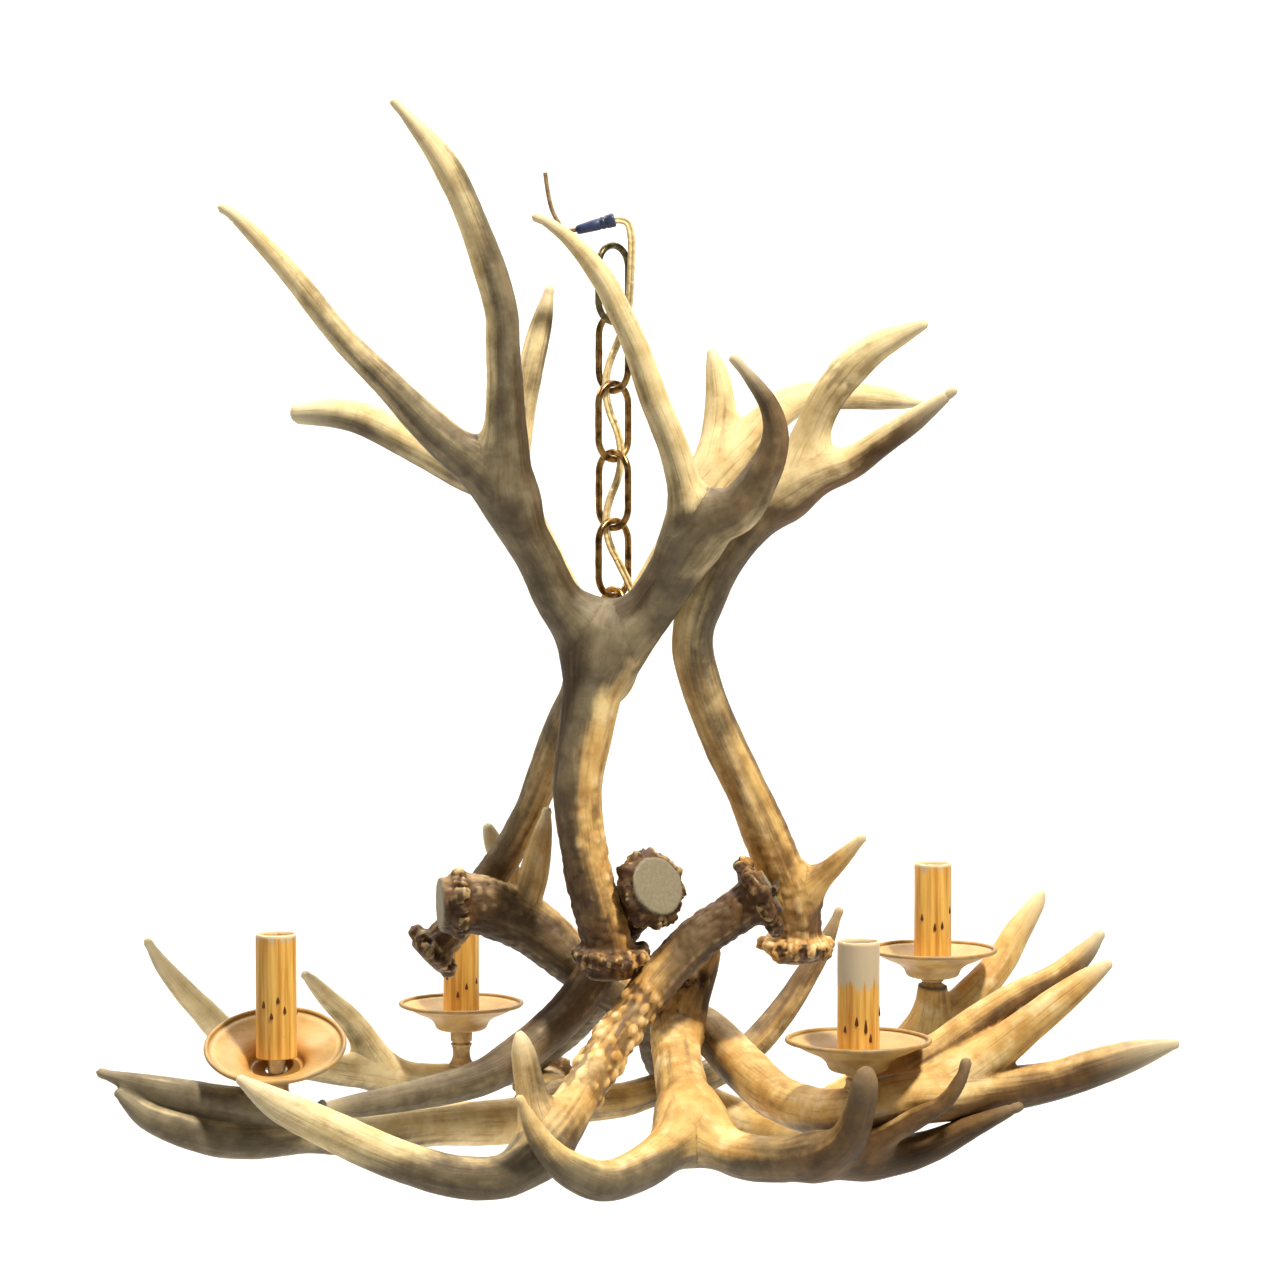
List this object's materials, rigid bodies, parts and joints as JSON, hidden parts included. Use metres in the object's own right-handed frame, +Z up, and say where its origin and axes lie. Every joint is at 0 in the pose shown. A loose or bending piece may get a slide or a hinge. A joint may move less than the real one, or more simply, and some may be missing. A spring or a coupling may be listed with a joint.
{
  "type": "antler chandelier",
  "caption": "Hanging chandelier of shed deer antlers pinned round a centre, with candle-style lights on brass stems and a link chain.",
  "frame": {"origin": "hang point: the inside of the top chain link's upper bend", "axes": "+Z up along the hanging chain, +X to the right and -Y towards the viewer of the picture"},
  "size_m": [0.6005, 0.4178, 0.62],
  "materials": {
    "antler": null,
    "chain_brass": "aged",
    "flex_pvc": "clear gold",
    "connector_plastic": "dark blue",
    "tail_sheath": "brown",
    "stem_brass": "aged",
    "pan_paint": "ochre cream",
    "holder_plastic": "plain",
    "contact_brass": "plated",
    "candle_sleeve": "wax coated",
    "dowel_steel": "plain",
    "fixing_steel": "zinc plated"
  },
  "bodies": {
    "chain_link_0": {"chain_link_0": "chain_brass", "flex": "flex_pvc", "flex_connector": "connector_plastic", "flex_tail": "tail_sheath"},
    "chain_link_1": {"chain_link_1": "chain_brass"},
    "chain_link_2": {"chain_link_2": "chain_brass"},
    "chain_link_3": {"chain_link_3": "chain_brass"},
    "chain_link_4": {"chain_link_4": "chain_brass"},
    "antler_frame": {"screw_eye": "chain_brass", "antler_upright_front": "antler", "antler_upright_back": "antler", "antler_upright_right": "antler", "antler_low_ridged": "antler", "antler_low_front": "antler", "antler_low_left": "antler", "antler_low_right": "antler", "antler_low_back_left": "antler", "antler_low_back_right": "antler", "antler_low_cross": "antler", "dowels": "dowel_steel", "nipples": "fixing_steel", "lock_nuts": "fixing_steel", "stem_front_right": "stem_brass", "drip_pan_front_right": "pan_paint", "lampholder_front_right": "holder_plastic", "screw_shell_front_right": "contact_brass", "contact_front_right": "contact_brass", "stem_front_left": "stem_brass", "drip_pan_front_left": "pan_paint", "lampholder_front_left": "holder_plastic", "screw_shell_front_left": "contact_brass", "contact_front_left": "contact_brass", "stem_rear_right": "stem_brass", "drip_pan_rear_right": "pan_paint", "lampholder_rear_right": "holder_plastic", "screw_shell_rear_right": "contact_brass", "contact_rear_right": "contact_brass", "stem_rear_left": "stem_brass", "drip_pan_rear_left": "pan_paint", "lampholder_rear_left": "holder_plastic", "screw_shell_rear_left": "contact_brass", "contact_rear_left": "contact_brass"},
    "sleeve_front_right": {"sleeve_front_right": "candle_sleeve"},
    "sleeve_front_left": {"sleeve_front_left": "candle_sleeve"},
    "sleeve_rear_right": {"sleeve_rear_right": "candle_sleeve"},
    "sleeve_rear_left": {"sleeve_rear_left": "candle_sleeve"}
  },
  "joints": [
    {"name": "chain_swing_1", "type": "hinge", "parent": "chain_link_0", "child": "chain_link_1", "pos_m": [0, 0, -0.0377], "axis": [0.7071, -0.7071, 0], "range_deg": [-12, 12], "deforming": ["flex"]},
    {"name": "chain_swing_2", "type": "hinge", "parent": "chain_link_1", "child": "chain_link_2", "pos_m": [0, 0, -0.0774], "axis": [0.7071, 0.7071, 0], "range_deg": [-9, 9], "deforming": ["flex"]},
    {"name": "chain_swing_3", "type": "hinge", "parent": "chain_link_2", "child": "chain_link_3", "pos_m": [0, 0, -0.1171], "axis": [0.7071, -0.7071, 0], "range_deg": [-7, 7], "deforming": ["flex"]},
    {"name": "chain_swing_4", "type": "hinge", "parent": "chain_link_3", "child": "chain_link_4", "pos_m": [0, 0, -0.1568], "axis": [0.7071, 0.7071, 0], "range_deg": [-6, 6], "deforming": ["flex"]},
    {"name": "chain_swing_5", "type": "hinge", "parent": "chain_link_4", "child": "antler_frame", "pos_m": [0, 0, -0.1965], "axis": [0.7071, -0.7071, 0], "range_deg": [-5, 5], "deforming": ["flex"]},
    {"name": "sleeve_lift_front_right", "type": "slide", "parent": "antler_frame", "child": "sleeve_front_right", "axis": [0, 0, 1], "range_m": [0, 0.075]},
    {"name": "sleeve_lift_front_left", "type": "slide", "parent": "antler_frame", "child": "sleeve_front_left", "axis": [0, 0, 1], "range_m": [0, 0.075]},
    {"name": "sleeve_lift_rear_right", "type": "slide", "parent": "antler_frame", "child": "sleeve_rear_right", "axis": [0, 0, 1], "range_m": [0, 0.075]},
    {"name": "sleeve_lift_rear_left", "type": "slide", "parent": "antler_frame", "child": "sleeve_rear_left", "axis": [0, 0, 1], "range_m": [0, 0.075]}
  ]
}
